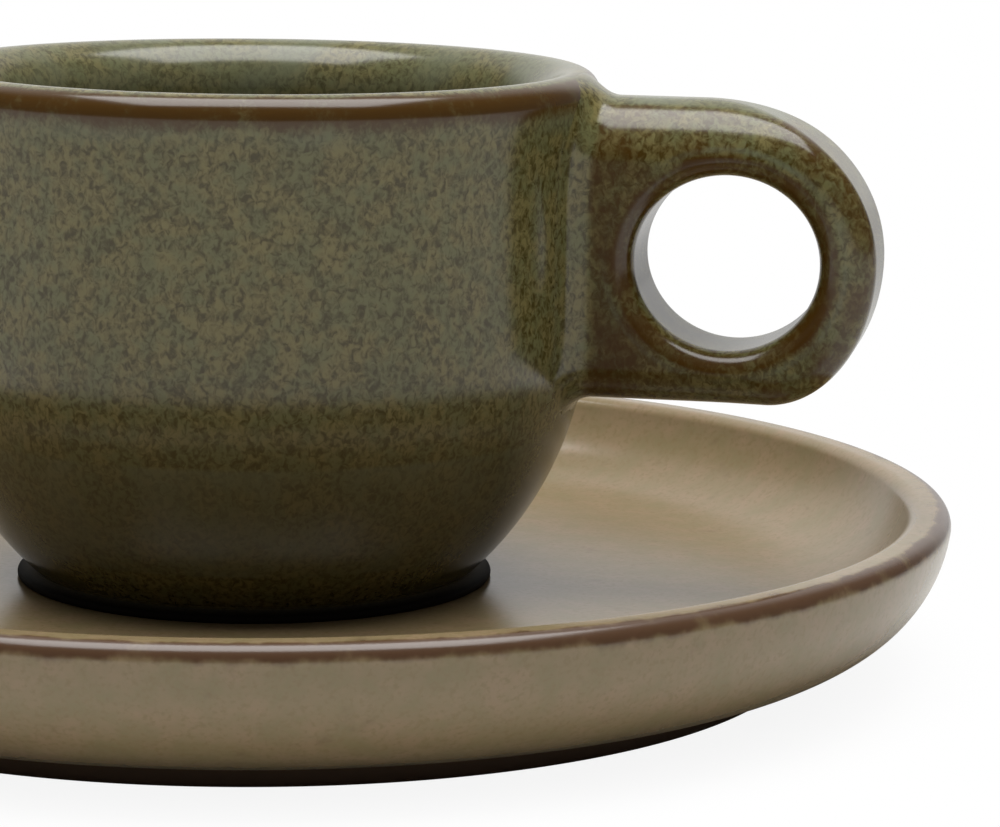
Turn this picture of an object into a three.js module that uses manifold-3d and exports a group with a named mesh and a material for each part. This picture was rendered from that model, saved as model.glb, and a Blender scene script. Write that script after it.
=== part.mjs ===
// Espresso cup and saucer in glazed stoneware: a round cup with a slab handle, standing in a shallow saucer.
// Millimetres, +Z up, origin at the middle of the saucer's standing ring, handle along +X.
import * as THREE from 'three';
import { mergeVertices } from 'three/addons/utils/BufferGeometryUtils.js';
import Module from 'manifold-3d';

// Saucer
const saucerRadius = 65.0;
const saucerHeight = 15.2;
const saucerFootRadius = 51.4; // outer edge of the standing ring
const saucerFootWidth = 7.0;
const saucerFootHeight = 2.2; // underside of the belly, above the table
const saucerFootRecess = 2.2; // hollow inside the standing ring
const saucerBellySweep = 9.05; // length of the belly's soft bend, out from the standing ring
const saucerWallDrop = 5.55; // height of the upright stretch under the lip
const saucerWallLean = 0.65; // how far that stretch draws in
const saucerLipWidth = 4.2;
const saucerLipRound = 1.75;
const wellDepth = 8.1; // flat well, below the saucer's lip
const wellRadius = 47.5;
const flankSweep = 7.0; // length of the soft bend from the well to the flank
const flankDrop = 5.0; // drop of the steep stretch under the lip
const flankLean = 2.2; // how far that stretch leans in

// Cup
const cupHeight = 47.8;
const rimRadius = 31.75; // widest point of the turned-out rim
const rimRound = 2.15; // outer rounding of the rim
const rimInnerRound = 4.0;
const rimFlareHeight = 9.0; // stretch over which the wall turns out to the rim
const wallRadius = 31.05;
const wallThickness = 5.45;
const bowlTop = 24.8; // height above the foot where the wall starts to curve in
const bowlDepth = 31.8; // upright half axis of the bowl's elliptical curve
const cupFootRadius = 22.2;
const cupFootWidth = 4.5;
const cupFootHeight = 0.9;
const cupFootRecess = 1.2;
const footBeadRound = 0.4;
const floorThickness = 3.5;
const floorRadius = 12.0; // flat middle of the floor inside
const floorSweep = 9.1; // length of the soft bend from the floor
const innerSweep = 9.6; // and of its upper end, down the inner wall

// Handle
const handleDrop = 1.78; // top of the handle below the rim
const handleHeight = 27.32;
const handleReach = 58.0; // outermost point, from the cup's axis
const handleThickness = 12.0;
const handleEdgeRound = 3.6;
const noseHeight = 12.85; // outermost point, above the handle's lower edge
const noseUpperSpan = 15.4; // length of the upper outer curve
const noseLowerSpan = 10.0;
const rootFillet = 2.6; // hollow fillet where the slab meets the wall
const fingerHoleWidth = 16.8;
const fingerHoleHeight = 15.9;
const fingerHoleInset = 13.55; // hole's centre, in from the outermost point
const fingerHoleRound = 1.8;
const slipJoint = 0.3; // luted seam between the handle and the cup

// Facets
const turnSegments = 56;
const facetLength = 4.0;
const outlineSteps = 6;
const edgeSteps = 3; // fewest facets on a rounded edge
const sameSpot = 1e-4;

const wellHeight = saucerHeight - wellDepth;
const handleTop = cupHeight - handleDrop; // the cup and its handle stand on their own z = 0
const handleBottom = handleTop - handleHeight;
const halfThickness = handleThickness / 2;

const wasm = await Module();
wasm.setup();

function solidFrom(geometry) {
  geometry.deleteAttribute('normal');
  geometry.deleteAttribute('uv');
  const merged = mergeVertices(geometry, sameSpot);
  const vertProperties = merged.attributes.position.array;
  const triVerts = new Uint32Array(merged.index.array);
  return new wasm.Manifold(new wasm.Mesh({ numProp: 3, vertProperties, triVerts }));
}

function geometryFrom(solid) {
  const mesh = solid.getMesh();
  const geometry = new THREE.BufferGeometry();
  geometry.setAttribute('position', new THREE.BufferAttribute(new Float32Array(mesh.vertProperties), 3));
  geometry.setIndex(new THREE.BufferAttribute(new Uint32Array(mesh.triVerts), 1));
  geometry.computeVertexNormals();
  return geometry;
}

// Points along a profile path, in facets of about one length, without doubled points where curves join.
function profilePoints(path) {
  const points = path.curves.flatMap((curve) => {
    const steps = Math.max(edgeSteps, Math.ceil(curve.getLength() / facetLength));
    return curve.getPoints(curve.isLineCurve ? 1 : steps);
  });
  return points.filter((point, i) => i === 0 || point.distanceTo(points[i - 1]) > sameSpot);
}

// Turns a profile path of (radius, height) about Z.
function revolve(path) {
  return new THREE.LatheGeometry(profilePoints(path), turnSegments).rotateX(Math.PI / 2);
}

// From the hollow under the saucer, over the standing ring, up the wall, over the lip and down to the well.
function saucerProfile() {
  const lipOuter = saucerRadius - saucerLipRound;
  const lipInner = saucerRadius - saucerLipWidth + saucerLipRound;
  const lipBase = saucerHeight - saucerLipRound;
  const lipEnd = Math.PI - Math.atan2(flankLean, flankDrop); // the lip's rounding runs on into the flank
  const flankTop = lipInner + saucerLipRound * Math.cos(lipEnd);
  const flankHeight = lipBase + saucerLipRound * Math.sin(lipEnd);
  const path = new THREE.Path();
  path.moveTo(0, saucerFootRecess);
  path.lineTo(saucerFootRadius - saucerFootWidth, saucerFootRecess);
  path.lineTo(saucerFootRadius - saucerFootWidth, 0);
  path.lineTo(saucerFootRadius, 0);
  path.lineTo(saucerFootRadius, saucerFootHeight);
  path.bezierCurveTo(
    saucerFootRadius + saucerBellySweep, saucerFootHeight,
    saucerRadius - saucerWallLean, lipBase - saucerWallDrop,
    saucerRadius, lipBase,
  );
  path.absarc(lipOuter, lipBase, saucerLipRound, 0, Math.PI / 2);
  path.absarc(lipInner, lipBase, saucerLipRound, Math.PI / 2, lipEnd);
  path.bezierCurveTo(
    flankTop - flankLean, flankHeight - flankDrop,
    wellRadius + flankSweep, wellHeight,
    wellRadius, wellHeight,
  );
  path.lineTo(0, wellHeight);
  return path;
}

// Outer side of the cup, from the top of the foot up to the widest point of the rim, moved out by a gap.
function addCupOuterWall(path, gap) {
  const wall = wallRadius + gap;
  const rim = rimRadius + gap;
  const footAngle = Math.asin((bowlTop - cupFootHeight) / bowlDepth);
  const rimBase = cupHeight - rimRound;
  path.absellipse(0, bowlTop, wall, bowlDepth + gap, -footAngle, 0);
  path.lineTo(wall, rimBase - rimFlareHeight);
  path.bezierCurveTo(
    wall, rimBase - rimFlareHeight / 2,
    rim, rimBase - rimFlareHeight / 4,
    rim, rimBase,
  );
}

// From the hollow under the cup, out over the foot, up the bowl and the wall, over the rim and down inside.
function cupProfile() {
  const beadCentre = cupFootRadius - footBeadRound;
  const rimCentre = rimRadius - rimRound;
  const floorHeight = cupFootRecess + floorThickness;
  const innerRadius = wallRadius - wallThickness;
  const path = new THREE.Path();
  path.moveTo(0, cupFootRecess);
  path.lineTo(cupFootRadius - cupFootWidth, cupFootRecess);
  path.lineTo(cupFootRadius - cupFootWidth, 0);
  path.lineTo(beadCentre, 0);
  path.absarc(beadCentre, footBeadRound, footBeadRound, -Math.PI / 2, Math.PI / 3);
  addCupOuterWall(path, 0);
  path.absarc(rimCentre, cupHeight - rimRound, rimRound, 0, Math.PI / 2);
  path.absarc(rimCentre, cupHeight - rimInnerRound, rimInnerRound, Math.PI / 2, Math.PI);
  path.lineTo(innerRadius, bowlTop);
  path.bezierCurveTo(
    innerRadius, bowlTop - innerSweep,
    floorRadius + floorSweep, floorHeight,
    floorRadius, floorHeight,
  );
  path.lineTo(0, floorHeight);
  return path;
}

// Thick ring that fills the cup's wall out to the slip joint, for trimming the handle's root.
function rootTrimProfile() {
  const inside = floorRadius;
  const above = cupHeight + rimRound;
  const path = new THREE.Path();
  path.moveTo(inside, above);
  path.lineTo(inside, cupFootHeight);
  addCupOuterWall(path, slipJoint);
  path.lineTo(rimRadius + slipJoint, above);
  path.lineTo(inside, above);
  return path;
}

// Upright slab from inside the cup's wall to the rounded nose, drawn in (radius, height).
function handleSlab() {
  const root = wallRadius - wallThickness;
  const noseMiddle = handleBottom + noseHeight;
  const upperRise = handleHeight - noseHeight;
  const outline = new THREE.Shape();
  outline.moveTo(root, handleTop);
  outline.lineTo(root, handleBottom);
  outline.absellipse(handleReach - noseLowerSpan, noseMiddle, noseLowerSpan, noseHeight, -Math.PI / 2, 0);
  outline.absellipse(handleReach - noseUpperSpan, noseMiddle, noseUpperSpan, upperRise, 0, Math.PI / 2);
  const slab = new THREE.ExtrudeGeometry(outline, {
    depth: handleThickness - 2 * handleEdgeRound,
    curveSegments: outlineSteps,
    bevelThickness: handleEdgeRound,
    bevelSize: handleEdgeRound,
    bevelOffset: -handleEdgeRound,
    bevelSegments: edgeSteps,
  });
  return slab.rotateX(Math.PI / 2).translate(0, halfThickness - handleEdgeRound, 0);
}

// Upright block with hollow sides that sweep from the cup's wall into the slab's faces.
function handleRoot() {
  const filletY = halfThickness + rootFillet;
  const filletX = Math.sqrt((wallRadius + rootFillet) ** 2 - filletY ** 2);
  const wallAngle = Math.atan2(filletY, filletX);
  const root = wallRadius - wallThickness;
  const rootY = wallRadius * Math.sin(wallAngle);
  const plan = new THREE.Shape();
  plan.moveTo(root, rootY);
  plan.lineTo(root, -rootY);
  plan.absarc(filletX, -filletY, rootFillet, Math.PI - wallAngle, Math.PI / 2, true);
  plan.absarc(filletX, filletY, rootFillet, -Math.PI / 2, wallAngle - Math.PI, true);
  const block = new THREE.ExtrudeGeometry(plan, {
    depth: handleHeight - 2 * handleEdgeRound,
    curveSegments: outlineSteps,
    bevelEnabled: false,
  });
  return block.translate(0, 0, handleBottom + handleEdgeRound);
}

// Rounded bore for the finger, flaring out at both faces of the slab.
function fingerHole() {
  const throat = fingerHoleWidth / 2;
  const mouth = throat + fingerHoleRound;
  const past = halfThickness + fingerHoleRound;
  const path = new THREE.Path();
  path.moveTo(0, -past);
  path.lineTo(mouth, -past);
  path.absarc(mouth, fingerHoleRound - halfThickness, fingerHoleRound, -Math.PI / 2, -Math.PI, true);
  path.absarc(mouth, halfThickness - fingerHoleRound, fingerHoleRound, Math.PI, Math.PI / 2, true);
  path.lineTo(mouth, past);
  path.lineTo(0, past);
  const bore = new THREE.LatheGeometry(profilePoints(path), turnSegments / 2);
  bore.scale(1, 1, fingerHoleHeight / fingerHoleWidth);
  return bore.translate(handleReach - fingerHoleInset, 0, handleBottom + noseHeight);
}

function handleGeometry() {
  const rough = solidFrom(handleSlab()).add(solidFrom(handleRoot()));
  const bored = rough.subtract(solidFrom(fingerHole()));
  return geometryFrom(bored.subtract(solidFrom(revolve(rootTrimProfile()))));
}

const cupGlaze = new THREE.MeshStandardMaterial({ color: 0x66634c, roughness: 0.35, metalness: 0 });
const saucerGlaze = new THREE.MeshStandardMaterial({ color: 0xa08f74, roughness: 0.45, metalness: 0 });

function addPiece(group, name, geometry, material) {
  const mesh = new THREE.Mesh(geometry, material);
  mesh.name = name;
  group.add(mesh);
}

const cupAndSaucer = new THREE.Group();
addPiece(cupAndSaucer, 'saucer', revolve(saucerProfile()), saucerGlaze);
const cup = new THREE.Group();
cup.position.z = wellHeight;
addPiece(cup, 'cup_body', revolve(cupProfile()), cupGlaze);
addPiece(cup, 'cup_handle', handleGeometry(), cupGlaze);
cupAndSaucer.add(cup);

export default cupAndSaucer;
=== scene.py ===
import math

import bpy
import numpy as np
from mathutils import Matrix, Vector


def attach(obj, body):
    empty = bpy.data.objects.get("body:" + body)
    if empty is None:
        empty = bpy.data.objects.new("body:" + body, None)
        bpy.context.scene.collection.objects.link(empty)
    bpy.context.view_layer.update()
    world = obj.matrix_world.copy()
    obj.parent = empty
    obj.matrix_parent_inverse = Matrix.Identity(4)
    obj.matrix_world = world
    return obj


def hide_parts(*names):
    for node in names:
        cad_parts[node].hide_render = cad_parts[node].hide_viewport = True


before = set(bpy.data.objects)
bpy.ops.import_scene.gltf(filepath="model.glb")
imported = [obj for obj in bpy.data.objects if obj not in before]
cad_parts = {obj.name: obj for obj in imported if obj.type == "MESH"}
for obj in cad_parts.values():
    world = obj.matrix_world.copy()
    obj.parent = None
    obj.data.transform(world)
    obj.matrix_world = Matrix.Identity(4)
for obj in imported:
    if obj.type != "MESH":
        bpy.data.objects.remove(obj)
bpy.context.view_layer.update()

# Espresso cup and saucer in glazed stoneware. Sizes are millimetres, the scene is in metres.
mm = 0.001
scene = bpy.context.scene
scene.view_settings.view_transform = "Standard"


def addNode(tree, kind, inputs=None, **settings):
    node = tree.nodes.new(kind)
    for name, value in settings.items():
        setattr(node, name, value)
    for socket, value in (inputs or {}).items():
        if isinstance(value, bpy.types.NodeSocket):
            tree.links.new(value, node.inputs[socket])
        else:
            node.inputs[socket].default_value = value
    return node


def startMaterial(name):
    material = bpy.data.materials.new(name)
    material.use_nodes = True
    material.node_tree.nodes.clear()
    return material, material.node_tree


def linearColour(hexCode):
    parts = [int(hexCode[i:i + 2], 16) / 255 for i in (1, 3, 5)]
    linear = [c / 12.92 if c <= 0.04045 else ((c + 0.055) / 1.055) ** 2.4 for c in parts]
    return (*linear, 1.0)


def smoothStep(low, high, value):
    t = np.clip((value - low) / (high - low), 0.0, 1.0)
    return t * t * (3.0 - 2.0 * t)


# The same with its two limits counted from a base
def ramp(base, limits, value):
    return smoothStep(base + limits[0], base + limits[1], value)


# Camera at the photograph's viewing angle: low, in front, with the handle turned a little towards it
view = {
    "turn": 14.0,  # degrees from the front towards the handle
    "distance": 367.6,  # from the cup's axis
    "height": 86.64,  # above the table
    "pitch": 9.910,
    "yaw": 3.570,
    "roll": 0.757,
    "lens": 143.34,
    "sensor": 36.0,
    "nearest": 10.0,
}
viewTurn = math.radians(view["turn"])
awayFromCamera = (-math.sin(viewTurn), math.cos(viewTurn), 0.0)
rightOfCamera = (math.cos(viewTurn), math.sin(viewTurn), 0.0)


def placeCamera():
    pitch, roll = (math.radians(view[k]) for k in ("pitch", "roll"))
    heading = math.radians(view["yaw"]) - viewTurn
    level = math.cos(pitch)
    ahead = Vector((math.sin(heading) * level, math.cos(heading) * level, -math.sin(pitch)))
    right = Vector((math.cos(heading), -math.sin(heading), 0.0))
    up = right.cross(ahead)
    rolledRight = right * math.cos(roll) + up * math.sin(roll)
    rolledUp = up * math.cos(roll) - right * math.sin(roll)
    place = Matrix((rolledRight, rolledUp, -ahead)).transposed().to_4x4()
    away = view["distance"]
    place.translation = Vector((math.sin(viewTurn) * away, -math.cos(viewTurn) * away, view["height"])) * mm
    lens = bpy.data.cameras.new("photoCamera")
    lens.lens = view["lens"]
    lens.sensor_width = view["sensor"]
    lens.clip_start = view["nearest"] * mm
    camera = bpy.data.objects.new("photoCamera", lens)
    camera.matrix_world = place
    scene.collection.objects.link(camera)
    scene.camera = camera


placeCamera()
print("camera placed")


# One softbox right above the cup, a pale room behind it and a dim one in front, over a white table
studio = {
    "softboxSize": (720.0, 533.0),
    "softboxHeight": 700.0,
    "softboxAhead": 36.0,  # towards the camera
    "softboxPower": 7.6,
    "roomPale": 0.86,
    "roomDim": 0.12,
    "paleBelow": (0.94, 0.7),  # shares of a unit direction over which the pale room comes in: up,
    "paleBehind": (0.0, 0.3),  # away from the camera
    "paleAside": (0.75, 0.4),  # and to either side
    "tableSize": 5000.0,
    "tableColour": "#e2e2e0",
    "shadowReach": 51.0,  # the table shows its shadow this near the axis,
    "whiteFrom": 72.0,  # and plain white beyond this
    "shadowLift": 0.9,  # how far the shadow is paled
    "mirrorReach": 90.0,  # the same for the table as the glaze mirrors it
    "mirrorWhite": 300.0,
    "mirrorAhead": 1.07,  # its glow in front and behind
    "mirrorBehind": 0.66,
}


def lightStudio():
    lamp = bpy.data.lights.new("softbox", "AREA")
    lamp.shape = "RECTANGLE"
    lamp.size = studio["softboxSize"][0] * mm
    lamp.size_y = studio["softboxSize"][1] * mm
    lamp.energy = studio["softboxPower"]
    softbox = bpy.data.objects.new("softbox", lamp)
    ahead = studio["softboxAhead"]
    across = (math.sin(viewTurn) * ahead, -math.cos(viewTurn) * ahead)
    softbox.location = Vector((*across, studio["softboxHeight"])) * mm
    softbox.rotation_euler = (0.0, 0.0, viewTurn)
    softbox.visible_camera = False
    scene.collection.objects.link(softbox)

    world = bpy.data.worlds.new("studioRoom")
    scene.world = world
    world.use_nodes = True
    tree = world.node_tree
    tree.nodes.clear()
    direction = addNode(tree, "ShaderNodeTexCoord").outputs["Generated"]
    height = addNode(tree, "ShaderNodeSeparateXYZ", {0: direction}).outputs["Z"]
    behind = addNode(tree, "ShaderNodeVectorMath", {0: direction, 1: awayFromCamera},
                     operation="DOT_PRODUCT").outputs["Value"]
    aside = addNode(tree, "ShaderNodeVectorMath", {0: direction, 1: rightOfCamera},
                    operation="DOT_PRODUCT").outputs["Value"]
    aside = addNode(tree, "ShaderNodeMath", {0: aside}, operation="ABSOLUTE").outputs[0]
    pale = 1.0
    for value, limits in ((height, "paleBelow"), (behind, "paleBehind"), (aside, "paleAside")):
        dim, full = studio[limits]
        share = addNode(tree, "ShaderNodeMapRange", {"Value": value, "From Min": dim, "From Max": full},
                        interpolation_type="SMOOTHSTEP").outputs[0]
        pale = addNode(tree, "ShaderNodeMath", {0: pale, 1: share}, operation="MULTIPLY").outputs[0]
    room = addNode(tree, "ShaderNodeMapRange", {"Value": pale, "To Min": studio["roomDim"],
                   "To Max": studio["roomPale"]}).outputs[0]
    seen = addNode(tree, "ShaderNodeLightPath").outputs["Is Camera Ray"]
    strength = addNode(tree, "ShaderNodeMath", {0: room, 1: seen}, operation="MAXIMUM").outputs[0]
    glow = addNode(tree, "ShaderNodeBackground", {"Color": (1.0, 1.0, 1.0, 1.0), "Strength": strength})
    addNode(tree, "ShaderNodeOutputWorld", {"Surface": glow.outputs[0]})


def layTable():
    half = studio["tableSize"] / 2 * mm
    mesh = bpy.data.meshes.new("table")
    corners = [(-half, -half, 0), (half, -half, 0), (half, half, 0), (-half, half, 0)]
    mesh.from_pydata(corners, [], [(0, 1, 2, 3)])
    table = bpy.data.objects.new("table", mesh)
    scene.collection.objects.link(table)

    # White laminate: matt and lit by the softbox round the saucer, where its shadow falls, and plain white
    # farther out
    laminate, tree = startMaterial("whiteLaminateTable")
    spot = addNode(tree, "ShaderNodeTexCoord").outputs["Object"]
    reach = addNode(tree, "ShaderNodeVectorMath", {0: spot}, operation="LENGTH").outputs["Value"]
    far = addNode(tree, "ShaderNodeMapRange", {"Value": reach, "From Min": studio["shadowReach"] * mm,
                  "From Max": studio["whiteFrom"] * mm, "To Min": studio["shadowLift"]},
                  interpolation_type="SMOOTHSTEP").outputs[0]
    beyond = addNode(tree, "ShaderNodeMapRange", {"Value": reach, "From Min": studio["mirrorReach"] * mm,
                     "From Max": studio["mirrorWhite"] * mm}, interpolation_type="SMOOTHSTEP").outputs[0]
    behind = addNode(tree, "ShaderNodeVectorMath", {0: spot, 1: awayFromCamera},
                     operation="DOT_PRODUCT").outputs["Value"]
    glow = addNode(tree, "ShaderNodeMapRange", {"Value": behind, "From Min": -studio["mirrorReach"] * mm,
                   "From Max": studio["mirrorReach"] * mm, "To Min": studio["mirrorAhead"],
                   "To Max": studio["mirrorBehind"]}, interpolation_type="SMOOTHSTEP").outputs[0]
    path = addNode(tree, "ShaderNodeLightPath").outputs
    mirrored = addNode(tree, "ShaderNodeMath", {0: path["Is Glossy Ray"], 1: path["Is Transmission Ray"]},
                       operation="ADD", use_clamp=True).outputs[0]
    mirrored = addNode(tree, "ShaderNodeMath", {0: mirrored, 1: beyond}, operation="MULTIPLY").outputs[0]
    white = addNode(tree, "ShaderNodeMath", {0: path["Is Camera Ray"], 1: far, 2: mirrored},
                    operation="MULTIPLY_ADD", use_clamp=True).outputs[0]
    matt = addNode(tree, "ShaderNodeBsdfDiffuse", {"Color": linearColour(studio["tableColour"])})
    seen = addNode(tree, "ShaderNodeMix", {0: path["Is Camera Ray"], 2: glow, 3: 1.0}).outputs[0]
    plain = addNode(tree, "ShaderNodeEmission", {"Color": (1.0, 1.0, 1.0, 1.0), "Strength": seen})
    mixed = addNode(tree, "ShaderNodeMixShader", {0: white, 1: matt.outputs[0], 2: plain.outputs[0]})
    addNode(tree, "ShaderNodeOutputMaterial", {"Surface": mixed.outputs[0]})
    mesh.materials.append(laminate)


lightStudio()
layTable()
print("studio lit")


# Reactive stoneware glaze: thick olive grey, finely mottled with brown, broken to warm brown where it ran
# thin over edges, pooled to blue grey beneath them, glossy with a faint orange peel; painted shade darkens
# it low down, and a painted highlight lightens the handle's crown
cupGlaze = {
    "ground": "#766d43",
    "green": "#696843",
    "speck": "#423913",
    "broken": "#472f0a",
    # colour of the painted shade low on the bowl and the handle
    "paintedLowShade": "#332a0d",
    # blue grey of pooled glaze, also used as the painted highlight on the handle's crown
    "pooledAndSheen": "#6a6e58",
    # bare clay of the foot, painted near-black for the shade under the bowl
    "clay": "#0d0a08",
    "patchSize": 2.6,
    "patchLimits": (0.38, 0.62),  # noise over which the ground turns to green
    "speckSize": 0.58,
    "speckLimits": (0.64, 0.3),
    "speckDrawn": 0.8,  # under 1 draws the specks out down the wall
    "poolSize": 9.0,
    "poolLimits": (0.42, 0.64),
    "poolLeast": 0.3,
    "edgeSize": 4.5,  # ragged edge of the brown
    "edgeRagged": 1.3,
    "edgeSpeck": -0.5,  # how far the specks show in that edge
    "edgeLimits": (0.55, 1.35),
    "lowShadeFrom": 30.5,  # painted shade darkens the glaze from this height down to the second
    "lowShadeTo": 20.0,
    "lowShadeShare": 0.5,
    "peelSize": 1.7,
    "peelDepth": 0.006,
    "roughness": 0.19,
    "clayRoughness": 0.75,
    "clayDull": 0.8,  # share of the mirroring that bare clay loses
    "sheen": 0.5,
    "ior": 1.47,
}


def makeCupGlaze():
    g = cupGlaze
    material, tree = startMaterial("reactiveStonewareGlaze")
    spot = addNode(tree, "ShaderNodeTexCoord").outputs["Object"]
    wearAndSheen = addNode(tree, "ShaderNodeAttribute", attribute_name="glazeWearAndSheen").outputs["Vector"]
    thin, poolAndSheen, bare = addNode(tree, "ShaderNodeSeparateXYZ", {0: wearAndSheen}).outputs
    dry = addNode(tree, "ShaderNodeAttribute", attribute_name="glazeDry").outputs["Fac"]

    # Mottled ground
    patch = addNode(tree, "ShaderNodeTexNoise", {"Vector": spot, "Scale": 1 / (g["patchSize"] * mm),
                    "Detail": 2.0, "Roughness": 0.6}).outputs["Fac"]
    patch = addNode(tree, "ShaderNodeMapRange", {"Value": patch, "From Min": g["patchLimits"][0],
                    "From Max": g["patchLimits"][1]}, interpolation_type="SMOOTHSTEP").outputs[0]
    ground = addNode(tree, "ShaderNodeMix", {0: patch, 6: linearColour(g["ground"]),
                     7: linearColour(g["green"])}, data_type="RGBA").outputs[2]
    drawn = addNode(tree, "ShaderNodeVectorMath", {0: spot, 1: (1.0, 1.0, g["speckDrawn"])},
                    operation="MULTIPLY").outputs[0]
    mottle = addNode(tree, "ShaderNodeTexNoise", {"Vector": drawn, "Scale": 1 / (g["speckSize"] * mm),
                     "Detail": 2.5, "Roughness": 0.6, "Distortion": 0.7}).outputs["Fac"]
    speck = addNode(tree, "ShaderNodeMapRange", {"Value": mottle, "From Min": g["speckLimits"][0],
                    "From Max": g["speckLimits"][1]}, interpolation_type="SMOOTHSTEP").outputs[0]
    speckled = addNode(tree, "ShaderNodeMix", {0: speck, 6: ground, 7: linearColour(g["speck"])},
                       data_type="RGBA").outputs[2]

    # Pooled where it is thick (the same colour gives the handle's crown a painted highlight), and darkened
    # down the bowl and the handle's lower part by painted shade
    poolAndSheenShare = addNode(tree, "ShaderNodeTexNoise", {"Vector": spot, "Scale": 1 / (g["poolSize"] * mm),
                   "Detail": 2.0}).outputs["Fac"]
    poolAndSheenShare = addNode(tree, "ShaderNodeMapRange", {"Value": poolAndSheenShare, "From Min": g["poolLimits"][0],
                   "From Max": g["poolLimits"][1], "To Min": g["poolLeast"]},
                   interpolation_type="SMOOTHSTEP").outputs[0]
    poolAndSheenShare = addNode(tree, "ShaderNodeMath", {0: poolAndSheenShare, 1: poolAndSheen}, operation="MULTIPLY").outputs[0]
    pooledAndSheen = addNode(tree, "ShaderNodeMix", {0: poolAndSheenShare, 6: speckled, 7: linearColour(g["pooledAndSheen"])},
                     data_type="RGBA").outputs[2]
    height = addNode(tree, "ShaderNodeSeparateXYZ", {0: spot}).outputs["Z"]
    paintedLowShade = addNode(tree, "ShaderNodeMapRange", {"Value": height, "From Min": g["lowShadeFrom"] * mm,
                   "From Max": g["lowShadeTo"] * mm, "To Max": g["lowShadeShare"]},
                   interpolation_type="SMOOTHSTEP").outputs[0]
    lowShaded = addNode(tree, "ShaderNodeMix", {0: paintedLowShade, 6: pooledAndSheen, 7: linearColour(g["paintedLowShade"])},
                       data_type="RGBA").outputs[2]

    # Broken to brown where it is thin, and bare on the foot, its clay painted near-black for the shade under
    # the bowl
    ragged = addNode(tree, "ShaderNodeTexNoise", {"Vector": spot, "Scale": 1 / (g["edgeSize"] * mm),
                     "Detail": 4.0, "Roughness": 0.65}).outputs["Fac"]
    ragged = addNode(tree, "ShaderNodeMath", {0: ragged, 1: g["edgeRagged"], 2: thin},
                     operation="MULTIPLY_ADD").outputs[0]
    ragged = addNode(tree, "ShaderNodeMath", {0: mottle, 1: g["edgeSpeck"], 2: ragged},
                     operation="MULTIPLY_ADD").outputs[0]
    broken = addNode(tree, "ShaderNodeMapRange", {"Value": ragged, "From Min": g["edgeLimits"][0],
                     "From Max": g["edgeLimits"][1]}, interpolation_type="SMOOTHSTEP").outputs[0]
    worn = addNode(tree, "ShaderNodeMix", {0: broken, 6: lowShaded, 7: linearColour(g["broken"])},
                   data_type="RGBA").outputs[2]
    colour = addNode(tree, "ShaderNodeMix", {0: bare, 6: worn, 7: linearColour(g["clay"])},
                     data_type="RGBA").outputs[2]

    gloss = addNode(tree, "ShaderNodeMapRange", {"Value": bare, "To Min": g["roughness"],
                    "To Max": g["clayRoughness"]}).outputs[0]
    dull = addNode(tree, "ShaderNodeMath", {0: bare, 1: g["clayDull"], 2: dry},
                   operation="MULTIPLY_ADD").outputs[0]
    sheen = addNode(tree, "ShaderNodeMapRange", {"Value": dull, "To Min": g["sheen"],
                    "To Max": 0.0}).outputs[0]
    peel = addNode(tree, "ShaderNodeTexNoise", {"Vector": spot, "Scale": 1 / (g["peelSize"] * mm),
                   "Detail": 1.0}).outputs["Fac"]
    bump = addNode(tree, "ShaderNodeBump", {"Height": peel, "Strength": 1.0,
                   "Distance": g["peelDepth"] * mm}).outputs[0]
    glaze = addNode(tree, "ShaderNodeBsdfPrincipled", {"Base Color": colour, "Roughness": gloss,
                    "IOR": g["ior"], "Specular IOR Level": sheen, "Normal": bump}).outputs[0]
    addNode(tree, "ShaderNodeOutputMaterial", {"Surface": glaze})
    return material


# Satin stoneware glaze: even taupe, faintly clouded greenish and pinkish, with a thin brown line along
# the lip
saucerGlaze = {
    "ground": "#8b765a",
    "cloud": "#807252",
    "speck": "#7f6e4e",
    "broken": "#4a2f1e",
    "clay": "#54402f",
    "cloudSize": 3.5,
    "cloudLimits": (0.35, 0.65),
    "grainSize": 0.5,
    "grainLimits": (0.5, 0.3),
    "edgeSize": 3.0,  # ragged edge of the brown line
    "edgeRagged": 1.6,
    "edgeLimits": (0.95, 1.75),
    "edgeMost": 0.9,
    "peelSize": 1.4,
    "peelDepth": 0.006,
    "roughness": 0.23,
    "clayRoughness": 0.85,
    "ior": 1.5,
}


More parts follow.
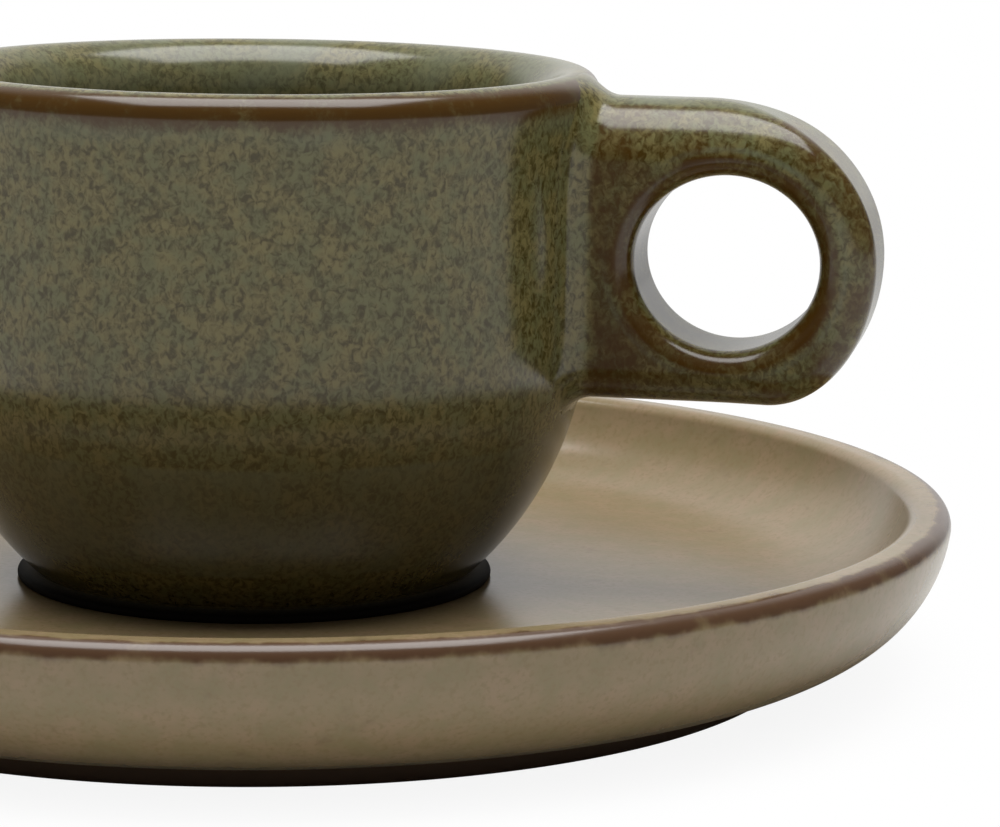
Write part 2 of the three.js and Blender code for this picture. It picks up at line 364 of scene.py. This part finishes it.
def makeSaucerGlaze():
    g = saucerGlaze
    material, tree = startMaterial("satinStonewareGlaze")
    spot = addNode(tree, "ShaderNodeTexCoord").outputs["Object"]
    wearAndSheen = addNode(tree, "ShaderNodeAttribute", attribute_name="glazeWearAndSheen").outputs["Vector"]
    wearAndSheen = addNode(tree, "ShaderNodeSeparateXYZ", {0: wearAndSheen}).outputs
    thin, bare = wearAndSheen["X"], wearAndSheen["Z"]

    # Clouded ground with a fine grain
    cloud = addNode(tree, "ShaderNodeTexNoise", {"Vector": spot, "Scale": 1 / (g["cloudSize"] * mm),
                    "Detail": 3.0, "Roughness": 0.65}).outputs["Fac"]
    cloud = addNode(tree, "ShaderNodeMapRange", {"Value": cloud, "From Min": g["cloudLimits"][0],
                    "From Max": g["cloudLimits"][1]}).outputs[0]
    ground = addNode(tree, "ShaderNodeMix", {0: cloud, 6: linearColour(g["ground"]),
                     7: linearColour(g["cloud"])}, data_type="RGBA").outputs[2]
    grain = addNode(tree, "ShaderNodeTexNoise", {"Vector": spot, "Scale": 1 / (g["grainSize"] * mm),
                    "Detail": 2.0}).outputs["Fac"]
    grain = addNode(tree, "ShaderNodeMapRange", {"Value": grain, "From Min": g["grainLimits"][0],
                    "From Max": g["grainLimits"][1]}).outputs[0]
    ground = addNode(tree, "ShaderNodeMix", {0: grain, 6: ground, 7: linearColour(g["speck"])},
                     data_type="RGBA").outputs[2]

    # Brown line on the lip, bare standing ring
    ragged = addNode(tree, "ShaderNodeTexNoise", {"Vector": spot, "Scale": 1 / (g["edgeSize"] * mm),
                     "Detail": 3.0, "Roughness": 0.6}).outputs["Fac"]
    ragged = addNode(tree, "ShaderNodeMath", {0: ragged, 1: g["edgeRagged"], 2: thin},
                     operation="MULTIPLY_ADD").outputs[0]
    broken = addNode(tree, "ShaderNodeMapRange", {"Value": ragged, "From Min": g["edgeLimits"][0],
                     "From Max": g["edgeLimits"][1], "To Max": g["edgeMost"]},
                     interpolation_type="SMOOTHSTEP").outputs[0]
    worn = addNode(tree, "ShaderNodeMix", {0: broken, 6: ground, 7: linearColour(g["broken"])},
                   data_type="RGBA").outputs[2]
    colour = addNode(tree, "ShaderNodeMix", {0: bare, 6: worn, 7: linearColour(g["clay"])},
                     data_type="RGBA").outputs[2]

    gloss = addNode(tree, "ShaderNodeMapRange", {"Value": bare, "To Min": g["roughness"],
                    "To Max": g["clayRoughness"]}).outputs[0]
    peel = addNode(tree, "ShaderNodeTexNoise", {"Vector": spot, "Scale": 1 / (g["peelSize"] * mm),
                   "Detail": 1.0}).outputs["Fac"]
    bump = addNode(tree, "ShaderNodeBump", {"Height": peel, "Strength": 1.0,
                   "Distance": g["peelDepth"] * mm}).outputs[0]
    glaze = addNode(tree, "ShaderNodeBsdfPrincipled", {"Base Color": colour, "Roughness": gloss,
                    "IOR": g["ior"], "Normal": bump}).outputs[0]
    addNode(tree, "ShaderNodeOutputMaterial", {"Surface": glaze})
    return material


cupFinish = makeCupGlaze()
saucerFinish = makeSaucerGlaze()
print("glazes mixed")


# Points of a profile in (radius, height): soft bends, arcs by normal angle, and straight runs
def bend(start, leave, arrive, end, steps):
    t = np.linspace(0.0, 1.0, steps + 1)[:, None]
    points = [np.array(p, float) for p in (start, leave, arrive, end)]
    return sum(c * (1 - t) ** (3 - i) * t ** i * points[i] for i, c in enumerate((1, 3, 3, 1)))


def arc(centre, radii, first, last, steps):
    angles = np.radians(np.linspace(first, last, steps + 1))
    return np.stack([centre[0] + radii[0] * np.cos(angles), centre[1] + radii[1] * np.sin(angles)], 1)


def run(start, end, steps):
    return np.linspace(start, end, steps + 1)


samePoint = 1e-5  # points nearer than this are one


def joinRuns(*runs):
    points = np.concatenate(runs)
    fresh = np.ones(len(points), bool)
    fresh[1:] = np.linalg.norm(np.diff(points, axis=0), axis=1) > samePoint
    return points[fresh]


# Turns a profile about Z, as on a potter's wheel: a grid of profile steps by turn steps, welded at seam
# and axis
def turnedWareTree():
    tree = bpy.data.node_groups.new("turnedWare", "GeometryNodeTree")
    sockets = {}
    for name, kind in (("Profile", "Geometry"), ("Turn Steps", "Int"), ("Stand Height", "Float"),
                       ("Weld Distance", "Float"), ("Glaze", "Material")):
        sockets[name] = tree.interface.new_socket(name, in_out="INPUT", socket_type="NodeSocket" + kind)
    tree.interface.new_socket("Ware", in_out="OUTPUT", socket_type="NodeSocketGeometry")
    given = addNode(tree, "NodeGroupInput").outputs
    count = addNode(tree, "GeometryNodeAttributeDomainSize", {0: given["Profile"]}, component="MESH")
    columns = addNode(tree, "FunctionNodeIntegerMath", {0: given["Turn Steps"], 1: 1},
                      operation="ADD").outputs[0]
    grid = addNode(tree, "GeometryNodeMeshGrid", {"Vertices X": count.outputs["Point Count"],
                   "Vertices Y": columns}).outputs["Mesh"]
    index = addNode(tree, "GeometryNodeInputIndex").outputs[0]
    row = addNode(tree, "FunctionNodeIntegerMath", {0: index, 1: columns},
                  operation="DIVIDE_FLOOR").outputs[0]
    column = addNode(tree, "FunctionNodeIntegerMath", {0: index, 1: columns}, operation="MODULO").outputs[0]
    share = addNode(tree, "ShaderNodeMath", {0: column, 1: given["Turn Steps"]},
                    operation="DIVIDE").outputs[0]
    angle = addNode(tree, "ShaderNodeMath", {0: share, 1: -2 * math.pi}, operation="MULTIPLY").outputs[0]
    place = addNode(tree, "GeometryNodeInputPosition").outputs[0]
    point = addNode(tree, "GeometryNodeSampleIndex", {"Geometry": given["Profile"], "Value": place,
                    "Index": row}, data_type="FLOAT_VECTOR", domain="POINT").outputs[0]
    turned = addNode(tree, "ShaderNodeVectorRotate", {"Vector": point, "Angle": angle},
                     rotation_type="Z_AXIS").outputs[0]
    lift = addNode(tree, "ShaderNodeCombineXYZ", {"Z": given["Stand Height"]}).outputs[0]
    lifted = addNode(tree, "ShaderNodeVectorMath", {0: turned, 1: lift}, operation="ADD").outputs[0]
    ware = addNode(tree, "GeometryNodeSetPosition", {"Geometry": grid, "Position": lifted}).outputs[0]
    drawn = addNode(tree, "GeometryNodeInputNamedAttribute", {"Name": "glazeWearAndSheen"},
                    data_type="FLOAT_VECTOR").outputs[0]
    wearAndSheen = addNode(tree, "GeometryNodeSampleIndex", {"Geometry": given["Profile"], "Value": drawn,
                   "Index": row}, data_type="FLOAT_VECTOR", domain="POINT").outputs[0]
    ware = addNode(tree, "GeometryNodeStoreNamedAttribute", {"Geometry": ware, "Name": "glazeWearAndSheen",
                   "Value": wearAndSheen}, data_type="FLOAT_VECTOR", domain="POINT").outputs[0]
    ware = addNode(tree, "GeometryNodeMergeByDistance", {"Geometry": ware,
                   "Distance": given["Weld Distance"]}).outputs[0]
    ware = addNode(tree, "GeometryNodeSetShadeSmooth", {"Geometry": ware}).outputs[0]
    ware = addNode(tree, "GeometryNodeRealizeInstances", {"Geometry": ware}).outputs[0]
    ware = addNode(tree, "GeometryNodeSetMaterial", {"Geometry": ware, "Material": given["Glaze"]}).outputs[0]
    addNode(tree, "NodeGroupOutput", {"Ware": ware})
    return tree, {name: socket.identifier for name, socket in sockets.items()}


wareTree, wareInputs = turnedWareTree()
weldDistance = 0.001


def turnWare(name, profile, wearAndSheen, standHeight, turnSteps, finish):
    line = bpy.data.meshes.new(name)
    corners = [(r * mm, 0.0, z * mm) for r, z in profile]
    line.from_pydata(corners, [(i, i + 1) for i in range(len(corners) - 1)], [])
    line.attributes.new("glazeWearAndSheen", "FLOAT_VECTOR", "POINT").data.foreach_set("vector", np.ravel(wearAndSheen))
    piece = bpy.data.objects.new(name, line)
    scene.collection.objects.link(piece)
    turning = piece.modifiers.new("turning", "NODES")
    turning.node_group = wareTree
    turning[wareInputs["Turn Steps"]] = turnSteps
    turning[wareInputs["Stand Height"]] = standHeight * mm
    turning[wareInputs["Weld Distance"]] = weldDistance * mm
    turning[wareInputs["Glaze"]] = finish
    graph = bpy.context.evaluated_depsgraph_get()
    turned = piece.evaluated_get(graph)
    mesh = bpy.data.meshes.new_from_object(turned, preserve_all_data_layers=True, depsgraph=graph)
    piece.modifiers.remove(turning)
    piece.data = mesh
    mesh.name = name
    return piece


saucer = {
    "radius": 65.0,
    "height": 15.23,
    "footRadius": 51.1,
    "footWidth": 7.0,
    "footHeight": 2.2,
    "footRecess": 2.2,
    "footEdge": 0.5,  # small rounding on the standing ring
    "bellySweep": 9.05,
    "wallDrop": 5.55,
    "wallLean": 0.65,
    "lipWidth": 4.2,
    "lipRound": 1.55,
    "wellDepth": 8.13,
    "wellRadius": 47.5,
    "flankSweep": 7.0,
    "flankDrop": 5.0,
    "flankLean": 2.2,
    "brownTurn": (104, 60),  # degrees round the lip over which its brown line comes in,
    "brownRise": (-0.45, 0.9),  # heights from the base of its rounding,
    "brownInward": 1.0,  # and how far in it goes
    "clayRise": (0.0, -0.5),  # bare clay comes in over these heights from the top of the ring
    "clayOutward": 1.0,
    "turnSteps": 320,
}
wellHeight = saucer["height"] - saucer["wellDepth"]


def makeSaucer():
    s = saucer
    ringIn = s["footRadius"] - s["footWidth"]
    edge = s["footEdge"]
    lipRound = s["lipRound"]
    lipBase = s["height"] - lipRound
    lipOuter = s["radius"] - lipRound
    lipInner = s["radius"] - s["lipWidth"] + lipRound
    lipEnd = 180 - math.degrees(math.atan2(s["flankLean"], s["flankDrop"]))
    lip = arc((lipInner, lipBase), (lipRound, lipRound), 90, lipEnd, 14)
    flankTop, flankHeight = lip[-1]
    belly = bend((s["footRadius"], s["footHeight"]), (s["footRadius"] + s["bellySweep"], s["footHeight"]),
                 (s["radius"] - s["wallLean"], lipBase - s["wallDrop"]), (s["radius"], lipBase), 64)
    profile = joinRuns(
        run((0, s["footRecess"]), (ringIn - edge, s["footRecess"]), 40),
        arc((ringIn - edge, s["footRecess"] - edge), (edge, edge), 90, 0, 5),
        arc((ringIn + edge, edge), (edge, edge), 180, 270, 5),
        run((ringIn + edge, 0), (s["footRadius"] - edge, 0), 8),
        arc((s["footRadius"] - edge, edge), (edge, edge), -90, 0, 5),
        arc((s["footRadius"] + edge, s["footHeight"] - edge), (edge, edge), 180, 90, 5),
        belly[belly[:, 0] > s["footRadius"] + edge],
        arc((lipOuter, lipBase), (lipRound, lipRound), 0, 90, 18),
        lip,
        bend((flankTop, flankHeight), (flankTop - s["flankLean"], flankHeight - s["flankDrop"]),
             (s["wellRadius"] + s["flankSweep"], wellHeight), (s["wellRadius"], wellHeight), 60),
        run((s["wellRadius"], wellHeight), (0, wellHeight), 60),
    )
    # Thin glaze along the lip's outer edge, none on the standing ring
    r, z = profile.T
    turned = np.degrees(np.arctan2(z - lipBase, r - lipOuter))
    thin = smoothStep(*s["brownTurn"], turned) * ramp(lipBase, s["brownRise"], z)
    thin = thin * (r > lipOuter - s["brownInward"])
    bare = ramp(s["footHeight"], s["clayRise"], z) * (r < s["footRadius"] + s["clayOutward"])
    wearAndSheen = np.stack([thin, np.zeros_like(thin), bare], 1)
    piece = turnWare("glazedSaucer", profile, wearAndSheen, 0.0, s["turnSteps"], saucerFinish)
    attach(piece, "saucer")
    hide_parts("saucer")
    print("saucer turned:", len(piece.data.polygons), "faces")


cup = {
    "height": 47.8,
    "rimRadius": 31.75,
    "rimRound": 2.15,
    "rimFlareHeight": 9.0,
    "rimCrestRound": 3.0,  # inner side of the rim, near its crest
    "rimCrestEnd": 123,  # degrees
    "rimInnerRound": 5.0,  # and farther in
    "rimInnerEnd": 178,
    "wallRadius": 31.05,
    "wallThickness": 5.45,
    "bowlTop": 24.8,
    "bowlDepth": 31.8,
    "footRadius": 22.2,
    "footWidth": 4.5,
    "footHeight": 0.9,
    "footRecess": 1.2,
    "footBead": 0.4,
    "footEdge": 0.4,
    "floorThickness": 3.5,
    "floorRadius": 12.0,
    "floorSweep": 9.1,
    "innerSweep": 9.6,
    "brownOutward": (0.4, 1.3),  # from the middle of the rim: radii over which its brown line comes in,
    "brownRise": (-2.3, 0.5),  # and heights from the base of its rounding
    "brownMost": 0.92,
    "poolRise": (-3.0, -0.8),  # the same for the pooled glaze beneath the line
    "poolMost": 0.6,
    "poolFloor": 0.1,  # inside, pooled glaze starts this far under the floor's height
    "clayRise": (0.5, -0.2),  # bare clay comes in over these heights from the top of the foot
    "clayOutward": 0.1,
    "turnSteps": 320,
}


# Outer side of the cup, from the foot up to the widest point of the rim
def cupOuterWall():
    c = cup
    rimBase = c["height"] - c["rimRound"]
    footAngle = math.degrees(math.asin((c["bowlTop"] - c["footHeight"]) / c["bowlDepth"]))
    wall, rim, flare = c["wallRadius"], c["rimRadius"], c["rimFlareHeight"]
    return joinRuns(
        arc((0, c["bowlTop"]), (wall, c["bowlDepth"]), -footAngle, 0, 60),
        run((wall, c["bowlTop"]), (wall, rimBase - flare), 24),
        bend((wall, rimBase - flare), (wall, rimBase - flare / 2),
             (rim, rimBase - flare / 4), (rim, rimBase), 30),
    )


def makeCup():
    c = cup
    ringIn = c["footRadius"] - c["footWidth"]
    edge = c["footEdge"]
    bead = c["footBead"]
    rimCentre = c["rimRadius"] - c["rimRound"]
    rimBase = c["height"] - c["rimRound"]
    floorHeight = c["footRecess"] + c["floorThickness"]
    crestRound, crestEnd = c["rimCrestRound"], c["rimCrestEnd"]
    crest = arc((rimCentre, c["height"] - crestRound), (crestRound, crestRound), 90, crestEnd, 10)
    innerRound, turned = c["rimInnerRound"], math.radians(crestEnd)
    inner = (crest[-1][0] - innerRound * math.cos(turned), crest[-1][1] - innerRound * math.sin(turned))
    inside = arc(inner, (innerRound, innerRound), crestEnd, c["rimInnerEnd"], 16)
    innerRadius = c["wallRadius"] - c["wallThickness"]
    profile = joinRuns(
        run((0, c["footRecess"]), (ringIn - edge, c["footRecess"]), 24),
        arc((ringIn - edge, c["footRecess"] - edge), (edge, edge), 90, 0, 5),
        arc((ringIn + edge, edge), (edge, edge), 180, 270, 5),
        run((ringIn + edge, 0), (c["footRadius"] - bead, 0), 6),
        arc((c["footRadius"] - bead, bead), (bead, bead), -90, 60, 12),
        cupOuterWall(),
        arc((rimCentre, rimBase), (c["rimRound"],) * 2, 0, 90, 24),
        crest,
        inside,
        run(inside[-1], (innerRadius, c["bowlTop"]), 24),
        bend((innerRadius, c["bowlTop"]), (innerRadius, c["bowlTop"] - c["innerSweep"]),
             (c["floorRadius"] + c["floorSweep"], floorHeight), (c["floorRadius"], floorHeight), 40),
        run((c["floorRadius"], floorHeight), (0, floorHeight), 16),
    )
    # Thin glaze over the rim's outer edge, thick beneath it and inside, none on the foot
    r, z = profile.T
    outside = ramp(rimCentre, c["brownOutward"], r)
    thin = outside * ramp(rimBase, c["brownRise"], z) * c["brownMost"]
    poolAndSheen = outside * ramp(rimBase, c["poolRise"], z) * c["poolMost"]
    within = (r < rimCentre) * (z > floorHeight - c["poolFloor"])
    poolAndSheen = np.maximum(poolAndSheen, within * c["poolMost"])
    bare = ramp(c["footHeight"], c["clayRise"], z) * (r < c["footRadius"] + c["clayOutward"])
    wearAndSheen = np.stack([thin, poolAndSheen, bare], 1)
    piece = turnWare("glazedCup", profile, wearAndSheen, wellHeight, c["turnSteps"], cupFinish)
    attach(piece, "cup")
    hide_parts("cup_body")
    print("cup turned:", len(piece.data.polygons), "faces")


handle = {
    "drop": 1.84,  # top of the handle below the rim
    "height": 27.3,
    "reach": 58.0,
    "thickness": 12.0,
    "topRound": 5.6,  # rounding of its edges: above,
    "edgeRound": 3.2,  # below
    "noseRound": 2.2,  # and at the nose
    "noseRun": (-4.5, -15.0),  # from the reach: where the nose's rounding passes into the others
    "noseHeight": 12.85,
    "noseUpperSpan": 16.0,
    "noseLowerSpan": 9.8,
    "holeWidth": 16.8,
    "holeHeight": 15.9,
    "holeInset": 13.45,
    "holeRound": 2.0,
    "rootFillet": 2.6,
    "rootTopFillet": 2.3,  # stays under the rim
    "rootTopRun": (-5.0, 0.0),  # heights from the top over which it takes over
    "rootBottomFillet": 2.0,
    "rootBottomRun": (2.5, -0.5),
    "rootDepth": 1.2,  # how far the root is let into the wall
    "rootClear": 0.3,  # how far it stays out from the middle of the rim
    "rootMargin": 0.8,  # how far it goes on beyond the fillet, inside the wall
    "seam": 0.004,  # the fillet runs out this far under the wall's surface
    "grain": 0.3,  # mesh size
    "gridMargin": 1.5,
    "gridInward": 4.0,
    "gridOutward": 1.0,
    "faceLimits": (0.3, 0.02),  # from the fillets onto the slab's own faces
    "bulgeStep": 0.5,
    "bulgeLimits": (0.15, 0.7),
    "thinLeast": 0.38,  # glaze is this thin all over, and thinner on bulges and towards the root
    "thinBulge": 0.3,
    "thinRoot": 0.24,
    "thinRootLimits": (42.0, 34.0),
    "thinHole": 0.75,  # brown ring round the finger hole
    "thinHoleOuter": (0.2, -0.2),
    "thinHoleInner": (0.1, 0.5),
    "paleHoleRing": 0.6,  # paler ring outside the brown one
    "paleHoleRingOut": 0.5,
    "paleHoleRingLimits": (0.35, 0.1),
    "paintedCrownLimits": (0.87, 0.94),  # upward slope of the crown, lightened there as a painted highlight
    "paintedCrownFromHole": 3.0,
    "paintedCrownShare": 0.7,
    "drySides": 0.75,  # matt on the flat sides
    "drySideLimits": (0.93, 0.99),
    "drySideRun": (-2.0, -6.0),
    "dryHole": 0.4,  # and in the lower half of the hole
    "dryHoleLimits": (0.6, 0.2),
    "dryHoleRun": (0.0, -6.0),
}
handleTop = cup["height"] - handle["drop"]
handleBottom = handleTop - handle["height"]
noseMiddle = handleBottom + handle["noseHeight"]


# Signed distances, in millimetres in the cup's own frame
def wallDistance(p):
    outer = cupOuterWall()
    slope = np.gradient(outer[:, 0], outer[:, 1])
    rho = np.hypot(p[:, 0], p[:, 1])
    rimBase = cup["height"] - cup["rimRound"]
    lean = 1.0 / np.sqrt(1.0 + np.interp(p[:, 2], outer[:, 1], slope) ** 2)
    below = (rho - np.interp(p[:, 2], outer[:, 1], outer[:, 0])) * lean
    out = np.maximum(rho - cup["rimRadius"] + cup["rimRound"], 0.0)
    above = np.hypot(out, p[:, 2] - rimBase) - cup["rimRound"]
    return np.where(p[:, 2] > rimBase, above, below)


def ovalDistance(u, v, a, b):
    tiny = 1e-9  # at the very middle
    k = np.sqrt((u / a) ** 2 + (v / b) ** 2)
    g = np.sqrt((u / a ** 2) ** 2 + (v / b ** 2) ** 2)
    return np.where(g > tiny, k * (k - 1.0) / np.maximum(g, tiny), -min(a, b))


def holeDistance(p):
    h = handle
    along = p[:, 0] - h["reach"] + h["holeInset"]
    return ovalDistance(along, p[:, 2] - noseMiddle, h["holeWidth"] / 2, h["holeHeight"] / 2)


def slabDistance(p):
    h = handle
    x, y, z = p.T
    upper = ovalDistance(np.maximum(x - h["reach"] + h["noseUpperSpan"], 0.0),
                         np.maximum(z - noseMiddle, 0.0), h["noseUpperSpan"], handleTop - noseMiddle)
    lower = ovalDistance(np.maximum(x - h["reach"] + h["noseLowerSpan"], 0.0),
                         np.maximum(noseMiddle - z, 0.0), h["noseLowerSpan"], h["noseHeight"])
    outline = np.where(z > noseMiddle, upper, lower)
    fuller = np.where(z > noseMiddle, h["topRound"], h["edgeRound"]) - h["noseRound"]
    rounding = h["noseRound"] + fuller * ramp(h["reach"], h["noseRun"], x)
    flat = np.abs(y) - h["thickness"] / 2
    a, b = outline + rounding, flat + rounding
    slab = np.minimum(np.maximum(a, b), 0.0) + np.hypot(np.maximum(a, 0.0), np.maximum(b, 0.0)) - rounding
    hole = holeDistance(p)
    r = h["holeRound"]
    bored = np.hypot(np.maximum(slab + r, 0.0), np.maximum(r - hole, 0.0))
    return np.minimum(np.maximum(slab, -hole), -r) + bored


def handleDistance(p):
    h = handle
    upper = ramp(handleTop, h["rootTopRun"], p[:, 2])
    lower = ramp(handleBottom, h["rootBottomRun"], p[:, 2])
    r = h["rootFillet"] + (h["rootTopFillet"] - h["rootFillet"]) * upper
    r = r + (h["rootBottomFillet"] - h["rootFillet"]) * lower
    slab = slabDistance(p)
    wall = wallDistance(p)
    sunk = wall + h["seam"]
    hollow = np.hypot(np.maximum(r - slab, 0.0), np.maximum(r - sunk, 0.0))
    blended = np.maximum(np.minimum(slab, sunk), r) - hollow
    rooted = np.maximum(blended, -(wall + h["rootDepth"]))
    core = cup["rimRadius"] - cup["rimRound"] + h["rootClear"]
    rooted = np.maximum(rooted, core - np.hypot(p[:, 0], p[:, 1]))
    return np.maximum(rooted, slab - r - h["rootMargin"])


def slopeOf(distance, p, step=0.02):
    slopes = [distance(p + offset) - distance(p - offset) for offset in np.eye(3) * step]
    return np.stack(slopes, 1) / (2 * step)


# Where the signs alternate round a grid face, four mesh faces would share an edge: its outer corners are
# drawn in
def openPinches(field, drawnIn=1e-3, rounds=20):
    for _ in range(rounds):
        pinched = np.zeros(field.shape, bool)
        for u, v in ((0, 1), (1, 2), (2, 0)):
            corners = []
            for du, dv in ((0, 0), (1, 0), (1, 1), (0, 1)):
                part = [slice(None)] * 3
                part[u] = slice(du, field.shape[u] - 1 + du)
                part[v] = slice(dv, field.shape[v] - 1 + dv)
                corners.append(tuple(part))
            inside = [field[corner] < 0 for corner in corners]
            alternate = (inside[0] == inside[2]) & (inside[1] == inside[3]) & (inside[0] != inside[1])
            for corner in corners:
                pinched[corner] |= alternate
        pinched &= field >= 0
        if not pinched.any():
            break
        field[pinched] = -drawnIn
    return field


# The four grid cells round each crossed grid edge, in turn
def cellsRound(spots, axis):
    cells = []
    for du, dv in ((0, 0), (-1, 0), (-1, -1), (0, -1)):
        cell = spots.copy()
        cell[:, (axis + 1) % 3] += du
        cell[:, (axis + 2) % 3] += dv
        cells.append(tuple(cell.T))
    return cells


# Evens a mesh of four-sided faces out and draws it back onto the surface
def evenOut(distance, points, faces, rounds=6, draws=2, share=0.5, leastSteep=0.2):
    for _ in range(rounds):
        total = np.zeros_like(points)
        hits = np.zeros(len(points))
        for i in range(4):
            np.add.at(total, faces[:, i], points[faces[:, (i + 1) % 4]] + points[faces[:, i - 1]])
            np.add.at(hits, faces[:, i], 2)
        points = points * (1.0 - share) + total / hits[:, None] * share
        for _ in range(draws):
            slope = slopeOf(distance, points)
            steep = np.maximum((slope ** 2).sum(1), leastSteep)
            points = points - slope * (distance(points) / steep)[:, None]
    return points


# Meshes a signed distance: one point in each grid cell that the surface crosses, and a face round each
# crossed grid edge
def surfaceNet(distance, low, high, grain, batches=40):
    axes = [np.arange(a, b + grain, grain) for a, b in zip(low, high)]
    shape = tuple(len(a) for a in axes)
    corners = np.stack(np.meshgrid(*axes, indexing="ij"), -1).reshape(-1, 3)
    field = np.concatenate([distance(part) for part in np.array_split(corners, batches)])
    field = openPinches(field.reshape(shape))
    cells = tuple(n - 1 for n in shape)
    total = np.zeros(cells + (3,))
    hits = np.zeros(cells)
    crossings = []
    for axis in range(3):
        first = [slice(None)] * 3
        second = [slice(None)] * 3
        first[axis], second[axis] = slice(0, -1), slice(1, None)
        start, end = field[tuple(first)], field[tuple(second)]
        spots = np.argwhere((start < 0) != (end < 0))
        a, b = start[tuple(spots.T)], end[tuple(spots.T)]
        points = np.array(low) + spots * grain
        points[:, axis] += grain * a / (a - b)
        ring = cellsRound(spots, axis)
        crossings.append((ring, a < 0))
        for cell in ring:
            np.add.at(total, cell, points)
            np.add.at(hits, cell, 1)
    used = hits > 0
    number = np.full(cells, -1)
    number[used] = np.arange(used.sum())
    points = total[used] / hits[used][:, None]
    faces = []
    for ring, rising in crossings:
        face = np.stack([number[cell] for cell in ring], 1)
        face[~rising] = face[~rising][:, ::-1]
        faces.append(face)
    faces = np.concatenate(faces)
    return evenOut(distance, points, faces), faces


def makeHandle():
    h = handle
    margin = h["rootFillet"] + h["gridMargin"]
    side = h["thickness"] / 2 + margin
    low = (cup["wallRadius"] - h["gridInward"], -side, handleBottom - margin)
    high = (h["reach"] + h["gridOutward"], side, handleTop + margin)
    points, faces = surfaceNet(handleDistance, low, high, h["grain"])
    x, z = points[:, 0], points[:, 2]

    # The glaze ran thin where the handle bulges, towards the root and in a ring round the hole
    slab = slabDistance(points)
    fromHole = holeDistance(points)
    step = h["bulgeStep"]
    around = sum(slabDistance(points + o) + slabDistance(points - o) for o in np.eye(3) * step)
    bulge = (around - 6 * slab) / step ** 2
    face = smoothStep(*h["faceLimits"], slab)
    thin = h["thinLeast"] + smoothStep(*h["bulgeLimits"], bulge) * h["thinBulge"]
    thin = np.maximum(thin, h["thinLeast"] + h["thinRoot"] * smoothStep(*h["thinRootLimits"], x)) * face
    brownRing = ramp(h["holeRound"], h["thinHoleOuter"], fromHole) * smoothStep(*h["thinHoleInner"], fromHole)
    thin = np.maximum(thin, brownRing * h["thinHole"])

    # A paler ring just outside that ring; the crown gets a painted highlight in the pooled glaze's colour
    ringGap = np.abs(fromHole - h["holeRound"] - h["paleHoleRingOut"])
    poolAndSheen = smoothStep(*h["paleHoleRingLimits"], ringGap) * face * h["paleHoleRing"]
    slope = slopeOf(slabDistance, points)
    paintedCrown = smoothStep(*h["paintedCrownLimits"], slope[:, 2]) * face * (fromHole > h["paintedCrownFromHole"])
    thin = thin * (1.0 - paintedCrown)
    poolAndSheen = np.maximum(poolAndSheen, paintedCrown * h["paintedCrownShare"])

    # and dried matt on the flat of the sides and low in the hole
    flat = smoothStep(*h["drySideLimits"], np.abs(slope[:, 1])) * face
    dry = flat * ramp(h["reach"], h["drySideRun"], x) * h["drySides"]
    lowInHole = smoothStep(*h["dryHoleLimits"], fromHole) * ramp(noseMiddle, h["dryHoleRun"], z)
    dry = np.maximum(dry, lowInHole * h["dryHole"])

    mesh = bpy.data.meshes.new("slabHandle")
    mesh.from_pydata((points + (0.0, 0.0, wellHeight)) * mm, [], faces)
    wearAndSheen = np.stack([thin, poolAndSheen, np.zeros_like(thin)], 1)
    mesh.attributes.new("glazeWearAndSheen", "FLOAT_VECTOR", "POINT").data.foreach_set("vector", np.ravel(wearAndSheen))
    mesh.attributes.new("glazeDry", "FLOAT", "POINT").data.foreach_set("value", dry)
    mesh.polygons.foreach_set("use_smooth", np.ones(len(faces), bool))
    mesh.materials.append(cupFinish)
    piece = bpy.data.objects.new("slabHandle", mesh)
    scene.collection.objects.link(piece)
    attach(piece, "cup")
    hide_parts("cup_handle")
    print("handle shaped:", len(faces), "faces")


makeSaucer()
makeCup()
makeHandle()
